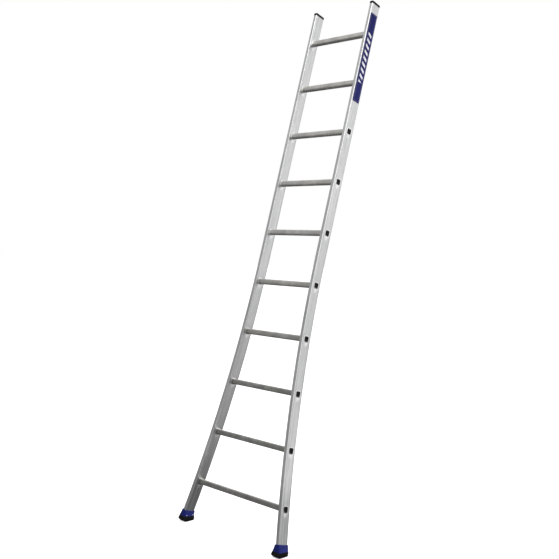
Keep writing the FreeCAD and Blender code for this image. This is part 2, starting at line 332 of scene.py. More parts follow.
def follow_stile(finish):
    """Distances out from a stile's centre line, through it, along it from where its bend starts, and
    above the nearest rung's middle."""
    x, y, height = finish.upright()
    drop = (BEND_HEIGHT - height).at_least(0)
    out = BEND_RADIUS - (BEND_RADIUS ** 2 - drop * drop).root()
    across = x.size() - out - STILE_CENTRE
    sine = drop / BEND_RADIUS
    along = (height - BEND_HEIGHT).at_least(0) - sine.math("ARCSINE", sine) * BEND_RADIUS
    top_rung = top_rung_middle.z / math.cos(LEAN) - BEND_HEIGHT
    rungs_away = (along - top_rung) / RUNG_PITCH
    halfway = rungs_away + 0.5
    from_rung = (halfway.math("FRACT", halfway) - 0.5) * RUNG_PITCH
    return across, y, along, from_rung


# %% [markdown]
# ## Extruded aluminium
# Both stiles and rungs are mill-finish extrusions: satin grey, drawn lengthwise, with fine die lines
# and a few broad brighter streaks. Pressing the rungs' ends over leaves a slightly dished, smoother ring
# round every hole, and a painted highlight lightens that ring. A painted highlight also lightens a patch
# under each hole, painted shade darkens a strip along the rear edge, and painted shade darkens the lowest
# part in clouded patches. Handling adds short scuffs across the grain. Distances to a hole come from the
# helper above, in metres.

# %% Stile aluminium
RING_REACH = 31 * MM
RING_FULL = 19 * MM
HIGHLIGHT_DROP = 28 * MM
HIGHLIGHT_REACH = 15 * MM
HIGHLIGHT_FULL = 5 * MM
REAR_SHADE_START = 21.5 * MM
REAR_SHADE_FULL = 24.5 * MM
DULL_GREY = (0.4, 0.402, 0.408, 1)
BRIGHT_GREY = (0.97, 0.97, 0.975, 1)
stile_finish = Finish("drawn_aluminium", Metallic=1.0)
across, through, along, from_rung = follow_stile(stile_finish)
die_lines = stile_finish.noise(across * 700, through * 700, along * 4)
streaks = stile_finish.noise(across * 90, through * 190, along * 2.4, detail=3.0).step(0.32, 0.68)
clouding = stile_finish.noise(across * 25, through * 45, along * 22, detail=5.0)
scuff_spots = stile_finish.noise(across * 90, through * 90, along * 480, detail=3.0)
scuffs = scuff_spots.step(0.64, 0.74) * clouding.step(0.5, 0.62)
ring_distance = (through * through + from_rung * from_rung).root()
# The ring is dished in relief and smoother; its lighter colour is a painted highlight.
dished_ring_and_highlight = ring_distance.step(RING_REACH, RING_FULL)
# A painted highlight lightens a patch just under each hole.
below_hole = from_rung + HIGHLIGHT_DROP
highlight_distance = (through * through + below_hole * below_hole).root()
highlight_below_hole = highlight_distance.step(HIGHLIGHT_REACH, HIGHLIGHT_FULL)
# Painted shade darkens a strip along the rear edge.
rear_edge_shade = through.step(REAR_SHADE_START, REAR_SHADE_FULL)
lower_half = along.step(-0.5, -1.2)
# Painted shade darkens the stile towards the foot in clouded patches; there it is also rougher.
foot_shade = along.step(-1.1, -1.36)
# Colour: grain and streaks, painted highlights round and under each hole, painted shade at the rear edge and
# near the foot.
tone = die_lines * 0.25 + clouding * 0.3 + dished_ring_and_highlight * 0.2 + highlight_below_hole * 0.35 - rear_edge_shade * 0.14
tone = tone + streaks * (0.24 + lower_half * 0.22) + 0.14 - foot_shade * (0.2 + clouding * 0.5)
stile_finish.give("Base Color", stile_finish.blend(DULL_GREY, BRIGHT_GREY, tone))
rough = 0.27 + die_lines * 0.12 + clouding * 0.1 + scuffs * 0.2 - dished_ring_and_highlight * 0.06
stile_finish.give("Roughness", rough + foot_shade * 0.06)
stile_finish.relief(die_lines * 0.3 + scuffs * 0.2 - dished_ring_and_highlight * 1.5, 0.3, 0.0009)
for name in ("left_stile", "right_stile"):
    for material_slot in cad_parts[name].material_slots:
        material_slot.material = stile_finish.material
print("the stile finish has", len(stile_finish.tree.nodes), "nodes")

# %% [markdown]
# The rungs are the same metal, a little more tarnished. A groove's floor is nearer to the rung's middle
# than the face around it, so that distance tells the two apart, and painted shade darkens the floors.
# Painted highlights lighten the tops and the bead against each stile, painted shadow darkens the rung
# beside that bead, and the sides of the lower rungs are darker, the lower the rung.

# %% Rung aluminium
DARK_RUNG_GREY = (0.2, 0.197, 0.187, 1)
LIGHT_RUNG_GREY = (0.95, 0.94, 0.9, 1)
GROOVED_HALF = 7.8 * MM
GROOVED_FULL = 7.2 * MM
FACE_HEIGHT = 13.8 * MM
FLOOR_HEIGHT = 13.5 * MM
TOP_HIGHLIGHT_START = 12.8 * MM
BEAD_START = -12.4 * MM
BEAD_FULL = -11.8 * MM
BEAD_SHADOW_START = -30 * MM
BEAD_SHADOW_FULL = -13 * MM
rung_finish = Finish("rung_aluminium", Metallic=1.0)
across, through, _, from_rung = follow_stile(rung_finish)
x, _, height = rung_finish.upright()
drawn = rung_finish.noise(x * 5, through * 800, height * 800)
tarnish = rung_finish.noise(x * 22, through * 40, height * 40, detail=4.0)
foot_wear = x.size().step(0.17, 0.03) * tarnish.step(0.35, 0.6)
grooved_band = through.size().step(GROOVED_HALF, GROOVED_FULL)
# Painted shade darkens the groove floors, which are also rougher.
shaded_groove_floor = grooved_band * from_rung.size().step(FACE_HEIGHT, FLOOR_HEIGHT)
# A painted highlight lightens the bead and the rung's end; painted shadow darkens the rung just inside the
# bead.
bead = across.step(BEAD_START, BEAD_FULL)
bead_shadow = across.step(BEAD_SHADOW_START, BEAD_SHADOW_FULL) * (1 - bead)
# A painted highlight lightens the top face of every rung.
top_highlight = from_rung.step(TOP_HIGHLIGHT_START, FACE_HEIGHT)
# The sides and undersides of the lower rungs are darker, the lower the rung.
low_rung_darkening = height.step(1.6, 0.5) * (1 - top_highlight)
# Colour: grain, tarnish and wear, painted highlights on the tops and beads, painted shade in the grooves and
# beside the beads.
tone = 0.22 + drawn * 0.4 + tarnish * 0.35 + foot_wear * 0.15 + bead * 0.3 + top_highlight * 0.3
tone = tone - shaded_groove_floor * 0.35 - bead_shadow * 0.25 - low_rung_darkening * 0.35
rung_finish.give("Base Color", rung_finish.blend(DARK_RUNG_GREY, LIGHT_RUNG_GREY, tone))
rung_finish.give("Roughness", 0.3 + drawn * 0.14 + tarnish * 0.1 + shaded_groove_floor * 0.25 - foot_wear * 0.06)
rung_finish.relief(drawn + tarnish * 0.3, 0.25, 0.0002)
print("the rung finish has", len(rung_finish.tree.nodes), "nodes")

# %% [markdown]
# ## Plastic, rubber, steel and print
# Moulded plastic has an even colour under a fine spark-eroded grain, and lighter, rougher patches at
# random whose lighter colour is a painted sheen. Rubber is the same idea but duller, with floor dust on
# its lowest few millimetres. The name plate is a printed film. It is left without words: a pale border
# and a row of slanting bars fill it.


# %% Moulded plastic
def moulded(name, deep, bright, gloss, grain):
    """Plastic with a fine grain. A smaller gloss number is shinier; grain is in bumps per metre."""
    finish = Finish(name, Specular_IOR_Level=0.2)
    x, y, z = finish.parts(finish.node("ShaderNodeTexCoord", output=3))
    pebble = finish.noise(x * grain, y * grain, z * grain, detail=1.0)
    flow = finish.noise(x * 40, y * 40, z * 70, detail=4.0)
    # Lighter, rougher patches at random; their lighter colour is a painted sheen.
    sheen_patches = finish.noise(x * 160, y * 160, z * 90, detail=3.0).step(0.55, 0.7)
    finish.give("Base Color", finish.blend((*deep, 1), (*bright, 1), flow * 0.6 + sheen_patches * 0.4))
    finish.give("Roughness", gloss + pebble * 0.12 + sheen_patches * 0.1)
    finish.relief(pebble, 0.35, 0.0002)
    return finish


black_finish = moulded("moulded_black", (0.0015, 0.0015, 0.0018), (0.005, 0.005, 0.006), 0.5, 1800)
blue_finish = moulded("moulded_blue", (0.005, 0.010, 0.10), (0.020, 0.034, 0.34), 0.3, 1500)
print("moulded:", black_finish.material.name, "and", blue_finish.material.name)

# %% Rubber
CLEAN_RUBBER = (0.002, 0.002, 0.0023, 1)
DUSTY_RUBBER = (0.05, 0.047, 0.042, 1)
DUST_LINE = 12 * MM
rubber_finish = Finish("crumb_rubber", Specular_IOR_Level=0.2)
x, y, z = rubber_finish.parts(rubber_finish.node("ShaderNodeTexCoord", output=3))
crumb = rubber_finish.noise(x * 900, y * 900, z * 900, detail=3.0)
patches = rubber_finish.noise(x * 60, y * 60, z * 90, detail=4.0)
dust = z.step(DUST_LINE, 0.0) * patches.step(0.4, 0.65)
grime = dust * 0.5 + crumb * 0.06
rubber_finish.give("Base Color", rubber_finish.blend(CLEAN_RUBBER, DUSTY_RUBBER, grime))
rubber_finish.give("Roughness", 0.62 + crumb * 0.15 + dust * 0.15)
rubber_finish.relief(crumb, 0.4, 0.0003)
print("the rubber finish has", len(rubber_finish.tree.nodes), "nodes")

# %% Rivet steel
DARK_STEEL = (0.5, 0.5, 0.5, 1)
LIGHT_STEEL = (0.85, 0.85, 0.85, 1)
rivet_finish = Finish("turned_steel", Metallic=1.0)
x, y, z = rivet_finish.parts(rivet_finish.node("ShaderNodeTexCoord", output=3))
turning = rivet_finish.noise(x * 300, y * 1400, z * 1400, detail=3.0)
rivet_finish.give("Base Color", rivet_finish.blend(DARK_STEEL, LIGHT_STEEL, turning))
rivet_finish.give("Roughness", 0.22 + turning * 0.2)
rivet_finish.relief(turning, 0.2, 0.0002)
print("the rivet finish has", len(rivet_finish.tree.nodes), "nodes")

# %% Printed name plate
PLATE_LENGTH = 504 * MM
PLATE_WIDTH = 52 * MM
BORDER = 3 * MM
BAR_PITCH = 34 * MM
BAR_SLANT = 0.55
NAVY = (0.009, 0.010, 0.10, 1)
LIGHTER_NAVY = (0.016, 0.018, 0.15, 1)
PALE_PRINT = (0.9, 0.9, 0.94, 1)
plate_low, plate_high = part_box("name_plate")
plate_middle = (plate_low + plate_high) / 2
plate_height = plate_middle.z * math.cos(LEAN) + (plate_middle.y - foot_line) * math.sin(LEAN)
plate_finish = Finish("printed_film", Specular_IOR_Level=0.12)
x, through, height = plate_finish.upright()
from_middle = (height - plate_height).size()
rim = from_middle.math("MAXIMUM", from_middle - PLATE_LENGTH / 2, through.size() - PLATE_WIDTH / 2)
border = rim.step(-2.2 * BORDER, -2.1 * BORDER) * rim.step(-1.4 * BORDER, -1.5 * BORDER)
bars = (height + through * BAR_SLANT) / BAR_PITCH
bar = bars.math("PINGPONG", bars, 0.5).step(0.24, 0.21)
field = through.size().step(0.0145, 0.0141) * from_middle.step(0.142, 0.1415)
print_wear = plate_finish.noise(x * 300, through * 300, height * 80, detail=4.0)
ink = plate_finish.blend(NAVY, LIGHTER_NAVY, print_wear)
pale = (border * 0.12).math("MAXIMUM", border * 0.12, bar * field * (0.85 + print_wear * 0.2))
plate_finish.give("Base Color", plate_finish.blend(ink, PALE_PRINT, pale))
plate_finish.give("Roughness", 0.33 + print_wear * 0.15)
print("the plate's middle is", round(plate_height, 3), "m up the ladder")

# %% [markdown]
# ## Modelling by hand, in code
# Every new piece is shaped the way it would be at the screen: a block is added at its size, faces and
# edges are picked, and an operator works on what is picked. Code picks by place and by which way a
# face looks, so a few short helpers do the picking. Everything is deselected first, because an
# operator works on all that is selected, and the frame's nodes arrive selected.


# %% Start a block
def deselect_everything():
    if bpy.context.mode != "OBJECT":
        bpy.ops.object.mode_set(mode="OBJECT")
    bpy.ops.object.select_all(action="DESELECT")


def start_block(name, low, high):
    """A block between two corners, opened in edit mode."""
    deselect_everything()
    low, high = Vector(low), Vector(high)
    bpy.ops.mesh.primitive_cube_add(size=1, location=(low + high) / 2)
    piece = bpy.context.object
    piece.name = name
    piece.scale = high - low
    bpy.ops.object.transform_apply(location=True, rotation=True, scale=True)
    bpy.ops.object.mode_set(mode="EDIT")
    return piece


# %% Pick faces, edges and corners
def pick(piece, kind, wanted):
    """In edit mode, selects what wanted() agrees to, and counts it. It is given a face's middle and
    normal, an edge's two ends, or a corner's place."""
    bpy.ops.mesh.select_mode(type=kind)
    bpy.ops.mesh.select_all(action="DESELECT")
    shape = bmesh.from_edit_mesh(piece.data)
    if kind == "FACE":
        chosen = [face for face in shape.faces if wanted(face.calc_center_median(), face.normal)]
    elif kind == "EDGE":
        chosen = [edge for edge in shape.edges if wanted(edge.verts[0].co, edge.verts[1].co)]
    else:
        chosen = [corner for corner in shape.verts if wanted(corner.co)]
    for item in chosen:
        item.select_set(True)
    shape.select_flush_mode()
    bmesh.update_edit_mesh(piece.data)
    return len(chosen)


def push(offset):
    """Extrudes what is picked and moves it."""
    bpy.ops.mesh.extrude_region_move(TRANSFORM_OT_translate={"value": offset})


def slice_at(point, normal, discard=False):
    """Cuts a loop where a plane crosses the piece. It can also discard the side the normal points to."""
    bpy.ops.mesh.select_all(action="SELECT")
    bpy.ops.mesh.bisect(plane_co=point, plane_no=normal, clear_outer=discard)


# %% Round the long corners, soften the sharp edges
HARD_EDGE = math.radians(42)
SMOOTH_LIMIT = math.radians(35)


def round_edges_along(piece, axis, radius, segments):
    """Bevels the edges that run along one axis."""
    def runs_along(start, end):
        way = (end - start).normalized()
        return abs(way[axis]) > 0.5

    pick(piece, "EDGE", runs_along)
    bpy.ops.mesh.bevel(offset=radius, segments=segments, affect="EDGES", clamp_overlap=True)


def soften(piece, width, segments=2):
    """Takes the sharpness off every hard edge, then shades the rest smooth."""
    bpy.ops.object.mode_set(mode="OBJECT")
    edge = piece.modifiers.new("soft_edges", "BEVEL")
    edge.width = width
    edge.segments = segments
    edge.limit_method = "ANGLE"
    edge.angle_limit = HARD_EDGE
    edge.harden_normals = False
    bpy.ops.object.modifier_apply(modifier=edge.name)
    bpy.ops.object.shade_smooth_by_angle(angle=SMOOTH_LIMIT)


# %% Copy and put in place
def settle(piece, place):
    """Moves the piece by a matrix and leaves its object at the origin, unturned and unscaled."""
    deselect_everything()
    piece.select_set(True)
    bpy.context.view_layer.objects.active = piece
    piece.matrix_world = place
    bpy.ops.object.transform_apply(location=True, rotation=True, scale=True)


def copy_of(piece, name):
    twin = piece.copy()
    twin.data = piece.data.copy()
    twin.name = name
    bpy.context.scene.collection.objects.link(twin)
    return twin


def mirror_of(piece, name):
    """A copy on the ladder's other side. Mirroring turns faces inside out, so they are set right."""
    twin = copy_of(piece, name)
    settle(twin, Matrix.Diagonal((-1, 1, 1, 1)))
    bpy.ops.object.mode_set(mode="EDIT")
    bpy.ops.mesh.select_all(action="SELECT")
    bpy.ops.mesh.normals_make_consistent(inside=False)
    bpy.ops.object.mode_set(mode="OBJECT")
    return twin


def hand_over(piece, finish, slot, *nodes):
    """Gives a finished piece its material, its body and the CAD nodes that it stands for."""
    piece.data.materials.clear()
    piece.data.materials.append(finish.material)
    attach(piece, "root")
    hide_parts(*nodes)


# %% [markdown]
# ## Rungs
# A rung is a rounded square tube. It runs through both stiles and is pressed into a bead on each side
# of them. Its top and bottom carry five grip grooves. The whole rung is one block: its long corners are
# bevelled, its ends are opened and cut at the stiles' slope, loops mark the beads and grooves, and
# Solidify turns the skin into a tube before the grooves are sunk. The upper five rungs are alike, so
# one is modelled and copied. The lower five are longer and end at a slope, so each is its own.

# %% Rung sizes
HALF_RUNG = 14 * MM
RUNG_CORNER = 7 * MM
RUNG_WALL = 1.6 * MM
GROOVES = 5
GROOVE_PITCH = 3 * MM
GROOVE_WIDTH = 1.4 * MM
GROOVE_DEPTH = 0.6 * MM
GROOVE_STOP = 30 * MM
OUTER_BEAD = 0.8 * MM
INNER_BEAD = 1.8 * MM
BEAD_RISE = 2 * MM
SPARE_END = 50 * MM
RUNG_SOFTNESS = 0.22 * MM
TOUCH = 0.01 * MM
print("a rung is", round(2 * HALF_RUNG / MM), "mm square and has", GROOVES, "grooves on two sides")


# %% One rung, upright and centred on its own middle
def shape_rung(name, stile_out, slope):
    reach = stile_out + SPARE_END
    piece = start_block(name, (-reach, -HALF_RUNG, -HALF_RUNG), (reach, HALF_RUNG, HALF_RUNG))
    round_edges_along(piece, 0, RUNG_CORNER, 7)
    pick(piece, "FACE", lambda middle, normal: abs(normal.x) > 0.9)
    bpy.ops.mesh.delete(type="FACE")
    planes = (HALF_STILE + OUTER_BEAD, HALF_STILE, -HALF_STILE, -HALF_STILE - INNER_BEAD)
    for side in (-1, 1):
        outward = Vector((side * math.cos(slope), 0, math.sin(slope)))
        for number, distance in enumerate(planes):
            point = Vector((side * stile_out, 0, 0)) + outward * distance
            slice_at(point, outward, discard=number == 0)
        slice_at((side * (stile_out - GROOVE_STOP), 0, 0), (1, 0, 0))
    for row in range(GROOVES):
        middle = (row - (GROOVES - 1) / 2) * GROOVE_PITCH
        for edge in (-GROOVE_WIDTH / 2, GROOVE_WIDTH / 2):
            slice_at((0, middle + edge, 0), (0, 1, 0))
    bpy.ops.object.mode_set(mode="OBJECT")
    wall = piece.modifiers.new("wall", "SOLIDIFY")
    wall.thickness = RUNG_WALL
    wall.offset = -1
    bpy.ops.object.modifier_apply(modifier=wall.name)
    bpy.ops.object.mode_set(mode="EDIT")
    sink_grooves(piece, stile_out - GROOVE_STOP)
    raise_beads(piece, stile_out, slope)
    soften(piece, RUNG_SOFTNESS)
    return piece


# %% Grooves and beads
def sink_grooves(piece, stop):
    def in_groove(middle):
        row = middle.y / GROOVE_PITCH
        return abs(row) < GROOVES / 2 and abs(row - round(row)) * GROOVE_PITCH < GROOVE_WIDTH / 2

    for side in (-1, 1):
        pick(piece, "FACE", lambda middle, normal: side * middle.z > HALF_RUNG - TOUCH
             and abs(middle.x) < stop and in_groove(middle))
        push((0, 0, -side * GROOVE_DEPTH))


def raise_beads(piece, stile_out, slope):
    def in_bead(middle, normal):
        from_axis = Vector((0, middle.y, middle.z))
        distance = (abs(middle.x) - stile_out) * math.cos(slope) + middle.z * math.sin(slope)
        outside = HALF_STILE < distance < HALF_STILE + OUTER_BEAD - TOUCH
        inside = -HALF_STILE - INNER_BEAD < distance < -HALF_STILE
        return (outside or inside) and from_axis.dot(normal) > 0.5 * from_axis.length

    pick(piece, "FACE", in_bead)
    push((0, 0, 0))
    rise = 1 + BEAD_RISE / HALF_RUNG
    bpy.ops.transform.resize(value=(1, rise, rise), center_override=(0, 0, 0))


# %% Make the rungs
def rung_name(number):
    return f"rung_{number:02d}"


straight_rung = None
for number in range(1, 11):
    middle = middle_of(rung_name(number))
    height = middle.z / math.cos(LEAN)
    stile_out, slope = stile_at(height)
    if slope or not straight_rung:
        rung = shape_rung(f"grooved_{rung_name(number)}", stile_out, slope)
    else:
        rung = copy_of(straight_rung, f"grooved_{rung_name(number)}")
    if not slope and not straight_rung:
        straight_rung = copy_of(rung, "straight_rung_pattern")
    settle(rung, stand @ Matrix.Translation((0, 0, height)))
    hand_over(rung, rung_finish, "rung_aluminium", rung_name(number))
    print(rung.name, f"{2 * stile_out:.3f} m between stiles, {len(rung.data.polygons)} faces")
bpy.data.objects.remove(straight_rung)

# %% [markdown]
# ## End plugs
# A plug is a moulded cup pushed into the rung's end, with a thin flange that hides the tube's wall. Its
# face is dished, which keeps a dark shadow inside the bright rim. A block is trimmed to the stile's
# slope, its outer face is widened into the flange, inset and pushed in, and its inner end is hollowed.

# %% One plug
PLUG_HALF = HALF_RUNG - RUNG_WALL - 0.05 * MM
PLUG_LENGTH = 14 * MM
PLUG_FLANGE = 0.3 * MM
PLUG_RIM = 0.6 * MM
PLUG_MARGIN = 1.5 * MM
PLUG_DISH = 1 * MM
PLUG_SLOPE = 2.2 * MM
PLUG_CENTRE = 0.5 * MM
PLUG_WALL = 2 * MM
PLUG_SOFTNESS = 0.12 * MM


def shape_plug(name, stile_out, slope):
    outward = Vector((math.cos(slope), 0, math.sin(slope)))
    seat = Vector((stile_out, 0, 0)) + outward * (HALF_STILE + OUTER_BEAD)
    inner = seat.x - PLUG_LENGTH
    piece = start_block(name, (inner, -PLUG_HALF, -PLUG_HALF), (seat.x + PLUG_LENGTH, PLUG_HALF, PLUG_HALF))
    round_edges_along(piece, 0, RUNG_CORNER - RUNG_WALL, 7)
    bpy.ops.mesh.select_all(action="SELECT")
    bpy.ops.mesh.bisect(plane_co=seat, plane_no=outward, use_fill=True, clear_outer=True)
    pick(piece, "FACE", lambda middle, normal: normal.x > 0.9)
    push((0, 0, 0))
    rise = (HALF_RUNG + PLUG_RIM) / PLUG_HALF
    bpy.ops.transform.resize(value=(rise, rise, rise), center_override=seat)
    push(outward * PLUG_FLANGE)
    bpy.ops.mesh.inset(thickness=PLUG_MARGIN)
    push(-outward * PLUG_DISH)
    bpy.ops.mesh.inset(thickness=PLUG_SLOPE)
    push(-outward * PLUG_CENTRE)
    pick(piece, "FACE", lambda middle, normal: normal.x < -0.9 and middle.x < inner + TOUCH)
    bpy.ops.mesh.inset(thickness=PLUG_WALL)
    push((PLUG_LENGTH / 2, 0, 0))
    soften(piece, PLUG_SOFTNESS)
    return piece


# %% Make the plugs
half_turn = Matrix.Rotation(math.pi, 4, "Z")
straight_plug = None
for number in range(1, 11):
    height = middle_of(rung_name(number)).z / math.cos(LEAN)
    stile_out, slope = stile_at(height)
    if slope or not straight_plug:
        pattern = shape_plug("plug_pattern", stile_out, slope)
    if not slope:
        straight_plug = pattern
    for side, turn in (("right", Matrix.Identity(4)), ("left", half_turn)):
        plug = copy_of(pattern, f"dished_{side}_plug_{number:02d}")
        settle(plug, stand @ Matrix.Translation((0, 0, height)) @ turn)
        hand_over(plug, black_finish, "black_plastic", f"{side}_rung_plug_{number:02d}")
    if slope:
        bpy.data.objects.remove(pattern)
bpy.data.objects.remove(straight_plug)
print("20 plugs made")

# %% [markdown]
# ## Top caps
# A black cap closes each stile: a lid a little wider than the tube, and a hollow spigot that grips
# inside it. The lid gets a shallow tray on top and a fine parting line round its side, because a
# moulded lid has both. The other side's cap is the same one turned half round.

# %% Cap
LADDER_LENGTH = 2908 * MM
CAP_HEIGHT = 12 * MM
CAP_LIP = 1.5 * MM
CAP_SPIGOT = 26 * MM
SPIGOT_INSET = 3.3 * MM
SPIGOT_WALL = 2 * MM
SPIGOT_FLOOR = 1 * MM
CAP_CORNER = 5 * MM
CAP_EDGE = 2 * MM
TRAY_RIM = 2.2 * MM
TRAY_DEPTH = 0.7 * MM
PARTING_LOW = 2 * MM
PARTING_HIGH = 2.7 * MM
PARTING_DEPTH = 0.25 * MM
CAP_SOFTNESS = 0.25 * MM


def swell(amount):
    """Extrudes what is picked along its own normals. A negative amount sinks it."""
    bpy.ops.mesh.extrude_region_shrink_fatten(
        TRANSFORM_OT_shrink_fatten={"value": amount, "use_even_offset": True}
    )


cap_half_depth = STILE_DEPTH / 2 + CAP_LIP
cap_low = Vector((STILE_CENTRE - HALF_STILE - CAP_LIP, -cap_half_depth, LADDER_LENGTH - CAP_HEIGHT))
cap_high = Vector((STILE_CENTRE + HALF_STILE + CAP_LIP, cap_half_depth, LADDER_LENGTH))
cap = start_block("ribbed_right_cap", cap_low, cap_high)
round_edges_along(cap, 2, CAP_CORNER, 6)
pick(cap, "EDGE", lambda start, end: min(start.z, end.z) > cap_high.z - TOUCH)
bpy.ops.mesh.bevel(offset=CAP_EDGE, segments=4, affect="EDGES")
pick(cap, "FACE", lambda middle, normal: normal.z > 0.99)
bpy.ops.mesh.inset(thickness=TRAY_RIM)
push((0, 0, -TRAY_DEPTH))
for level in (PARTING_LOW, PARTING_HIGH):
    slice_at((0, 0, cap_low.z + level), (0, 0, 1))
pick(cap, "FACE", lambda middle, normal: PARTING_LOW < middle.z - cap_low.z < PARTING_HIGH)
swell(-PARTING_DEPTH)
pick(cap, "FACE", lambda middle, normal: normal.z < -0.99 and middle.z < cap_low.z + TOUCH)
bpy.ops.mesh.inset(thickness=SPIGOT_INSET)
push((0, 0, -CAP_SPIGOT))
bpy.ops.mesh.inset(thickness=SPIGOT_WALL)
push((0, 0, CAP_SPIGOT - SPIGOT_FLOOR))
soften(cap, CAP_SOFTNESS)
other_cap = copy_of(cap, "ribbed_left_cap")
settle(cap, stand)
settle(other_cap, stand @ half_turn)
hand_over(cap, black_finish, "black_plastic", "right_top_cap")
hand_over(other_cap, black_finish, "black_plastic", "left_top_cap")
print("a cap has", len(cap.data.polygons), "faces")

# %% [markdown]
# ## Shoes and soles
# The foot is two mouldings with a slanting joint. The blue shoe is a socket round the stile's end. The
# black sole under it spreads out to its widest a little above the ground, and its toe turns up. Each is
# a block carried through four-cornered outlines, which makes clean tapers. The long corners are then
# rounded, the socket is sunk, the shoe's top gets a raised collar, and a line is sunk round the sole.

# %% Foot sizes
SHOE_TOP = 55 * MM
SHOE_WALL = 4 * MM
SHOE_STEP = 1 * MM
STILE_END = 37 * MM
SOLE_INNER = 319 * MM
SOLE_OUTER = 375 * MM
SOLE_FRONT = -38 * MM
SOLE_BACK = 38 * MM
SOLE_WIDEST = 14 * MM
SOLE_DRAFT = 3 * MM
TREAD_FRONT = -22.5 * MM
TREAD_BACK = 37.5 * MM
JOINT_INNER = 322 * MM
JOINT_FRONT = -29.5 * MM
JOINT_BACK = 38 * MM
JOINT_HEIGHT = 25.5 * MM
JOINT_TILT = math.radians(6.5)
shoe_out, shoe_slope = stile_at(SHOE_TOP)
lean_only = Matrix.Rotation(-LEAN, 3, "X")
stile_way = lean_only @ Vector((-math.sin(shoe_slope), 0, math.cos(shoe_slope)))
shoe_top_middle = lean_only @ Vector((shoe_out, 0, SHOE_TOP))
print(f"at the shoe's top the stile is {shoe_out:.3f} m out")


# %% Outlines of the foot
def spread(low, high, sign):
    """The middle of two values when sign is 0, and one of them when it is -1 or 1."""
    return (low + high) / 2 + sign * (high - low) / 2


def ground_corner(x, y):
    across = spread(SOLE_INNER + SOLE_DRAFT, SOLE_OUTER - SOLE_DRAFT, x)
    return Vector((across, spread(TREAD_FRONT, TREAD_BACK, y), 0))


def widest_corner(x, y):
    return Vector((spread(SOLE_INNER, SOLE_OUTER, x), spread(SOLE_FRONT, SOLE_BACK, y), SOLE_WIDEST))


def joint_corner(x, y, step=0):
    half_y = y * ((JOINT_BACK - JOINT_FRONT) / 2 - step)
    return Vector((
        spread(JOINT_INNER + step, SOLE_OUTER - step, x),
        (JOINT_FRONT + JOINT_BACK) / 2 + half_y * math.cos(JOINT_TILT),
        JOINT_HEIGHT - half_y * math.sin(JOINT_TILT),
    ))


def shoe_top_corner(x, y):
    across = Vector((math.cos(shoe_slope), 0, math.sin(shoe_slope)))
    half_x = x * (HALF_STILE + SHOE_WALL)
    half_y = y * (STILE_DEPTH / 2 + SHOE_WALL)
    return lean_only @ (Vector((shoe_out, 0, SHOE_TOP)) + half_x * across + Vector((0, half_y, 0)))


# %% A block through several outlines
def move_corners(piece, source, target):
    """Moves four corners. source and target give a corner from two signs, across and along the foot."""
    for x in (-1, 1):
        for y in (-1, 1):
            pick(piece, "VERT", lambda corner: (corner - source(x, y)).length < TOUCH)
            bpy.ops.transform.translate(value=target(x, y) - source(x, y))


def tapered_block(name, *outlines):
    """A block through two or more outlines, lowest first."""
    lift = Vector((0, 0, 1))
    piece = start_block(name, (-1, -1, 0), (1, 1, 1))
    move_corners(piece, lambda x, y: Vector((x, y, 0)), outlines[0])
    move_corners(piece, lambda x, y: Vector((x, y, 1)), outlines[1])
    for below, above in zip(outlines[1:], outlines[2:]):
        pick(piece, "FACE", lambda middle, normal: normal.z > 0.9)
        push(lift)
        move_corners(piece, lambda x, y: below(x, y) + lift, above)
    return piece


# %% Shoe
COLLAR_DEPTH = 6 * MM
COLLAR_RISE = 0.7 * MM
TOP_MARGIN = 1 * MM
SHOE_CORNER = 7 * MM
SOCKET_MARGIN = SHOE_WALL + 0.6 * MM
SHOE_SOFTNESS = 0.7 * MM


def above_collar_line(place):
    return (place - collar_line).dot(stile_way)


shoe = tapered_block("moulded_right_shoe", lambda x, y: joint_corner(x, y, SHOE_STEP), shoe_top_corner)
round_edges_along(shoe, 2, SHOE_CORNER, 6)
collar_line = shoe_top_middle - stile_way * COLLAR_DEPTH
slice_at(collar_line, stile_way)
pick(shoe, "FACE", lambda middle, normal: abs(normal.dot(stile_way)) < 0.7 and above_collar_line(middle) > 0)
swell(COLLAR_RISE)
pick(shoe, "FACE", lambda middle, normal: normal.dot(stile_way) > 0.98
     and above_collar_line(middle) > COLLAR_DEPTH - TOP_MARGIN)
bpy.ops.mesh.inset(thickness=SOCKET_MARGIN)
push(-stile_way * (SHOE_TOP - STILE_END))
soften(shoe, SHOE_SOFTNESS, 3)
print("a shoe has", len(shoe.data.polygons), "faces")

# %% Sole
TREAD_DEPTH = 3 * MM
TREAD_WIDTH = 3.5 * MM
TREAD_PITCH = 10.5 * MM
TREADS = 5
TREAD_ROUNDING = 0.8 * MM
BEAD_LINE = 17 * MM
BEAD_TOP = BEAD_LINE + 1.4 * MM
BEAD_DEPTH = 0.8 * MM
SOLE_CORNER = 9 * MM
SOLE_SOFTNESS = 0.6 * MM
sole = tapered_block("treaded_right_sole", ground_corner, widest_corner, joint_corner)
round_edges_along(sole, 2, SOLE_CORNER, 7)
for level in (BEAD_LINE, BEAD_TOP):
    slice_at((0, 0, level), (0, 0, 1))
pick(sole, "FACE", lambda middle, normal: BEAD_LINE < middle.z < BEAD_TOP and abs(normal.z) < 0.8)
swell(-BEAD_DEPTH)
soften(sole, SOLE_SOFTNESS, 3)
print("before its treads a sole has", len(sole.data.polygons), "faces")

# %% [markdown]
# The treads run right across the sole and are open at both sides. Sinking faces would leave a thin
# wall at each end, so this is a job for a Boolean: a bar is arrayed into a comb and taken away.

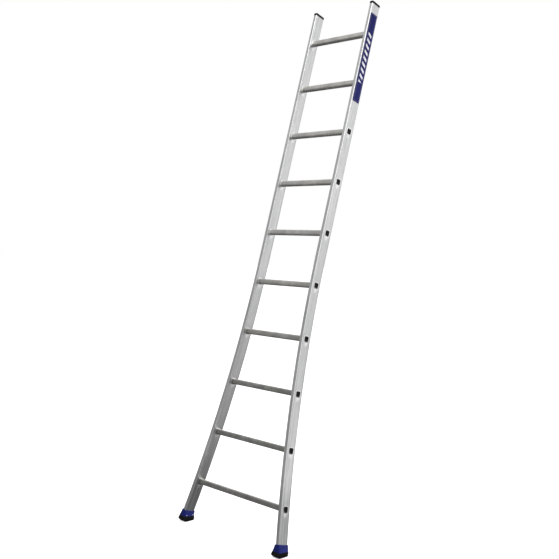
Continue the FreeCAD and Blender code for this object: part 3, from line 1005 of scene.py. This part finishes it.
# %% Treads
first_tread = (TREAD_FRONT + TREAD_BACK - (TREADS - 1) * TREAD_PITCH - TREAD_WIDTH) / 2
comb = start_block(
    "tread_comb",
    (SOLE_INNER - TREAD_PITCH, first_tread, -TREAD_DEPTH),
    (SOLE_OUTER + TREAD_PITCH, first_tread + TREAD_WIDTH, TREAD_DEPTH),
)
round_edges_along(comb, 0, TREAD_ROUNDING, 3)
bpy.ops.object.mode_set(mode="OBJECT")
row = comb.modifiers.new("row", "ARRAY")
row.count = TREADS
row.use_relative_offset = False
row.use_constant_offset = True
row.constant_offset_displace = (0, TREAD_PITCH, 0)
bpy.ops.object.modifier_apply(modifier=row.name)
deselect_everything()
bpy.context.view_layer.objects.active = sole
cut = sole.modifiers.new("treads", "BOOLEAN")
cut.operation = "DIFFERENCE"
cut.solver = "EXACT"
cut.object = comb
bpy.ops.object.modifier_apply(modifier=cut.name)
bpy.data.objects.remove(comb)
print("a sole has", len(sole.data.polygons), "faces")

# %% Both feet in place
ground = Matrix.Translation((0, foot_line, 0))
settle(shoe, ground)
settle(sole, ground)
feet = {"right": (shoe, sole)}
feet["left"] = (mirror_of(shoe, "moulded_left_shoe"), mirror_of(sole, "treaded_left_sole"))
for side, (upper, lower) in feet.items():
    hand_over(upper, blue_finish, "blue_plastic", f"{side}_shoe")
    hand_over(lower, rubber_finish, "sole_rubber", f"{side}_sole")
    print("the", side, "foot is", upper.name, "on", lower.name)

# %% [markdown]
# ## Rivets
# Two blind rivets hold each shoe through its inner wall. A blind rivet has a low dome with a small pit
# where its pulling pin broke off, so a cylinder's rim is bevelled into a dome and its middle is sunk.

# %% Rivets
RIVET_RADIUS = 3.2 * MM
RIVET_HEAD = 1.6 * MM
DOME_WIDTH = RIVET_HEAD * 0.8
PIT_RIM = 0.7 * MM
PIT_DEPTH = 0.7 * MM
RIVET_SOFTNESS = 0.1 * MM
rivet_low, rivet_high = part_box("right_shoe_rivets")
rivet_places = (
    (rivet_low.y + RIVET_RADIUS, rivet_high.z - RIVET_RADIUS),
    (rivet_high.y - RIVET_RADIUS, rivet_low.z + RIVET_RADIUS),
)
rivets = []
for y, z in rivet_places:
    deselect_everything()
    middle = ((rivet_low.x + rivet_high.x) / 2, y, z)
    length = rivet_high.x - rivet_low.x
    bpy.ops.mesh.primitive_cylinder_add(
        vertices=32, radius=RIVET_RADIUS, depth=length, location=middle, rotation=(0, math.pi / 2, 0)
    )
    rivet = bpy.context.object
    bpy.ops.object.transform_apply(location=True, rotation=True, scale=True)
    bpy.ops.object.mode_set(mode="EDIT")
    pick(rivet, "FACE", lambda place, normal: normal.x < -0.9)
    bpy.ops.mesh.region_to_loop()
    bpy.ops.mesh.bevel(offset=DOME_WIDTH, segments=5, affect="EDGES")
    pick(rivet, "FACE", lambda place, normal: normal.x < -0.99)
    bpy.ops.mesh.inset(thickness=PIT_RIM)
    push((PIT_DEPTH, 0, 0))
    soften(rivet, RIVET_SOFTNESS)
    rivets.append(rivet)
deselect_everything()
for rivet in rivets:
    rivet.select_set(True)
bpy.context.view_layer.objects.active = rivets[0]
bpy.ops.object.join()
rivets = rivets[0]
rivets.name = "domed_right_rivets"
settle(rivets, Matrix.Identity(4))
other_rivets = mirror_of(rivets, "domed_left_rivets")
hand_over(rivets, rivet_finish, "rivet_steel", "right_shoe_rivets")
hand_over(other_rivets, rivet_finish, "rivet_steel", "left_shoe_rivets")
print("a pair of rivets has", len(rivets.data.polygons), "faces")

# %% [markdown]
# ## Name plate
# The plate is a thin slab on the right stile's outer face. Its corners are rounded, and its printed
# face sits a hair below a turned edge, so that the edge catches the light.

# %% Plate
PLATE_THICKNESS = 1.6 * MM
PLATE_CORNER = 3 * MM
TURNED_EDGE = 1 * MM
PRINT_DEPTH = 0.15 * MM
PLATE_SOFTNESS = 0.12 * MM
plate_x = STILE_CENTRE + HALF_STILE
plate = start_block(
    "bordered_name_plate",
    (plate_x, -PLATE_WIDTH / 2, plate_height - PLATE_LENGTH / 2),
    (plate_x + PLATE_THICKNESS, PLATE_WIDTH / 2, plate_height + PLATE_LENGTH / 2),
)
round_edges_along(plate, 0, PLATE_CORNER, 6)
pick(plate, "FACE", lambda middle, normal: normal.x > 0.9)
bpy.ops.mesh.inset(thickness=TURNED_EDGE)
push((-PRINT_DEPTH, 0, 0))
soften(plate, PLATE_SOFTNESS)
settle(plate, stand)
hand_over(plate, plate_finish, "navy_plate", "name_plate")
print("the plate has", len(plate.data.polygons), "faces")
